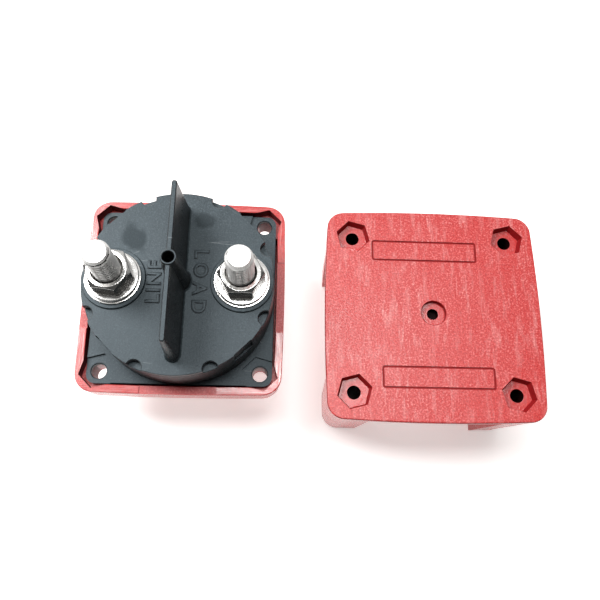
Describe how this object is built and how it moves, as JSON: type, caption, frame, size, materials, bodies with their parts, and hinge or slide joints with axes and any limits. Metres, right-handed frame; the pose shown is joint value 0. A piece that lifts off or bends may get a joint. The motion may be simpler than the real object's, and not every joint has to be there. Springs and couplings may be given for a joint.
{
  "type": "battery switch",
  "caption": "Square panel-mount rotary battery switch with two threaded studs, a divider blade and a turning knob, stood on its knob beside its four-legged rear cover.",
  "frame": {"origin": "on the switch's turning axis, in the plane of the knob's flat face, which the switch stands on", "axes": "+Z points to the rear of the switch, along the studs and the turning axis; +X runs from the input stud to the output stud; +Y runs along the divider blade"},
  "size_m": [0.1714, 0.0856, 0.0794],
  "materials": {
    "red_plastic": "coral-red moulded plastic with a fine grain and a soft streaky sheen",
    "red_cover_plastic": "coral-red moulded plastic with a fine spark-eroded grain and a mottled sheen",
    "red_knob_plastic": "coral-red moulded plastic, slightly smoother on the grip",
    "black_plastic": "black glass-filled plastic with a fine grain",
    "black_cap_plastic": "black glass-filled plastic with a fine grain, handling smudges and light scratches",
    "natural_plastic": "unpigmented slippery engineering plastic",
    "label_white": "satin white printed film",
    "tinned_stud": "bright tinned stud with a rolled thread",
    "plated_nut": "bright stainless hexagon nut, lightly brushed",
    "plated_washer": "bright stainless pressed washer",
    "contact_copper": "bare copper contact bar",
    "spring_steel": "oiled spring steel",
    "seal_rubber": "black seal rubber",
    "shaft_brass": "turned brass"
  },
  "bodies": {
    "switch_body": {"front_housing": "red_plastic", "dial_ring": "label_white", "shaft_seal": "seal_rubber", "body_gasket": "seal_rubber", "detent_ring": "natural_plastic", "base_plate": "black_plastic", "rear_cap": "black_cap_plastic", "input_stud": "tinned_stud", "input_contact_washer": "plated_washer", "input_washer": "plated_washer", "input_nut": "plated_nut", "input_stud_seal": "seal_rubber", "output_stud": "tinned_stud", "output_contact_washer": "plated_washer", "output_washer": "plated_washer", "output_nut": "plated_nut", "output_stud_seal": "seal_rubber"},
    "knob_assembly": {"knob": "red_knob_plastic", "knob_pointer": "label_white", "knob_set_screw": "spring_steel", "drive_shaft": "shaft_brass", "retaining_clip": "spring_steel", "rotor": "natural_plastic", "contact_bridge": "contact_copper", "contact_spring": "spring_steel", "detent_ball_a": "spring_steel", "detent_ball_b": "spring_steel", "detent_spring_a": "spring_steel", "detent_spring_b": "spring_steel"},
    "cover": {"rear_cover": "red_cover_plastic"}
  },
  "joints": [
    {"name": "knob_turn", "type": "hinge", "parent": "switch_body", "child": "knob_assembly", "pos_m": [0, 0, 0], "axis": [0, 0, 1], "range_deg": [0, 90]},
    {"name": "cover_lift", "type": "slide", "parent": "switch_body", "child": "cover", "axis": [0, 0, 1], "range_m": [0, 0.09]}
  ]
}
